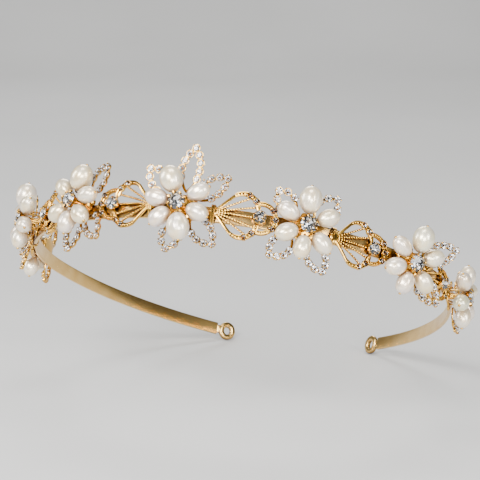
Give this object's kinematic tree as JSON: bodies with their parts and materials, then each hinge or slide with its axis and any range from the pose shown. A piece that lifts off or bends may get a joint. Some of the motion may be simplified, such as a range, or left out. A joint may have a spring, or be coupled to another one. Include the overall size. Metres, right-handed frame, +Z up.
{
  "type": "bridal tiara",
  "caption": "Springy flat headband carrying a row of pearl and crystal flowers joined by openwork scrolls, with an eyelet at each tip.",
  "frame": {"origin": "middle of the band's inner face at the front centre, where it rests on the head", "axes": "+Z up and -Y to the front, as the tiara is worn and displayed: the band's plane is tilted 31 degrees, front edge up. +X is to the right as seen from the front"},
  "size_m": [0.1352, 0.1295, 0.0892],
  "materials": {
    "gold_strip": "satin gold plate on spring strip",
    "gold_casting": "polished gold-plated casting with milgrain beading",
    "gold_setting": "bright gold-plated cup chain and claws",
    "gold_wire": "bright gold-plated wire",
    "pearl": "ridged freshwater pearl, soft lustre",
    "crystal": "clear, faceted and foil-backed"
  },
  "bodies": {
    "front": {"band_front": "gold_strip", "flower_left_3_plate": "gold_casting", "flower_left_3_pearls": "pearl", "flower_left_3_petals": "gold_setting", "flower_left_3_petal_stones": "crystal", "flower_left_3_claw_setting": "gold_setting", "flower_left_3_crystal": "crystal", "flower_left_2_plate": "gold_casting", "flower_left_2_pearls": "pearl", "flower_left_2_petals": "gold_setting", "flower_left_2_petal_stones": "crystal", "flower_left_2_claw_setting": "gold_setting", "flower_left_2_crystal": "crystal", "flower_left_1_plate": "gold_casting", "flower_left_1_pearls": "pearl", "flower_left_1_petals": "gold_setting", "flower_left_1_petal_stones": "crystal", "flower_left_1_claw_setting": "gold_setting", "flower_left_1_crystal": "crystal", "flower_centre_plate": "gold_casting", "flower_centre_pearls": "pearl", "flower_centre_petals": "gold_setting", "flower_centre_petal_stones": "crystal", "flower_centre_claw_setting": "gold_setting", "flower_centre_crystal": "crystal", "flower_right_1_plate": "gold_casting", "flower_right_1_pearls": "pearl", "flower_right_1_petals": "gold_setting", "flower_right_1_petal_stones": "crystal", "flower_right_1_claw_setting": "gold_setting", "flower_right_1_crystal": "crystal", "flower_right_2_plate": "gold_casting", "flower_right_2_pearls": "pearl", "flower_right_2_petals": "gold_setting", "flower_right_2_petal_stones": "crystal", "flower_right_2_claw_setting": "gold_setting", "flower_right_2_crystal": "crystal", "flower_right_3_plate": "gold_casting", "flower_right_3_pearls": "pearl", "flower_right_3_petals": "gold_setting", "flower_right_3_petal_stones": "crystal", "flower_right_3_claw_setting": "gold_setting", "flower_right_3_crystal": "crystal", "connector_left_3_frame": "gold_casting", "connector_left_3_stones": "crystal", "connector_left_2_frame": "gold_casting", "connector_left_2_stones": "crystal", "connector_left_1_frame": "gold_casting", "connector_left_1_stones": "crystal", "connector_right_1_frame": "gold_casting", "connector_right_1_stones": "crystal", "connector_right_2_frame": "gold_casting", "connector_right_2_stones": "crystal", "connector_right_3_frame": "gold_casting", "connector_right_3_stones": "crystal", "fixing_wires": "gold_wire"},
    "left_arm": {"band_arm_left": "gold_strip", "end_ring_left": "gold_strip"},
    "right_arm": {"band_arm_right": "gold_strip", "end_ring_right": "gold_strip"}
  },
  "joints": [
    {"name": "left_arm_flex", "type": "hinge", "parent": "front", "child": "left_arm", "pos_m": [-0.05958, 0.06067, -0.03645], "axis": [0, 0.515, 0.8572], "range_deg": [0, 18], "stiffness_Nm_per_rad": 0.25},
    {"name": "right_arm_flex", "type": "hinge", "parent": "front", "child": "right_arm", "pos_m": [0.05958, 0.06067, -0.03645], "axis": [0, -0.515, -0.8572], "range_deg": [0, 18], "stiffness_Nm_per_rad": 0.25}
  ]
}
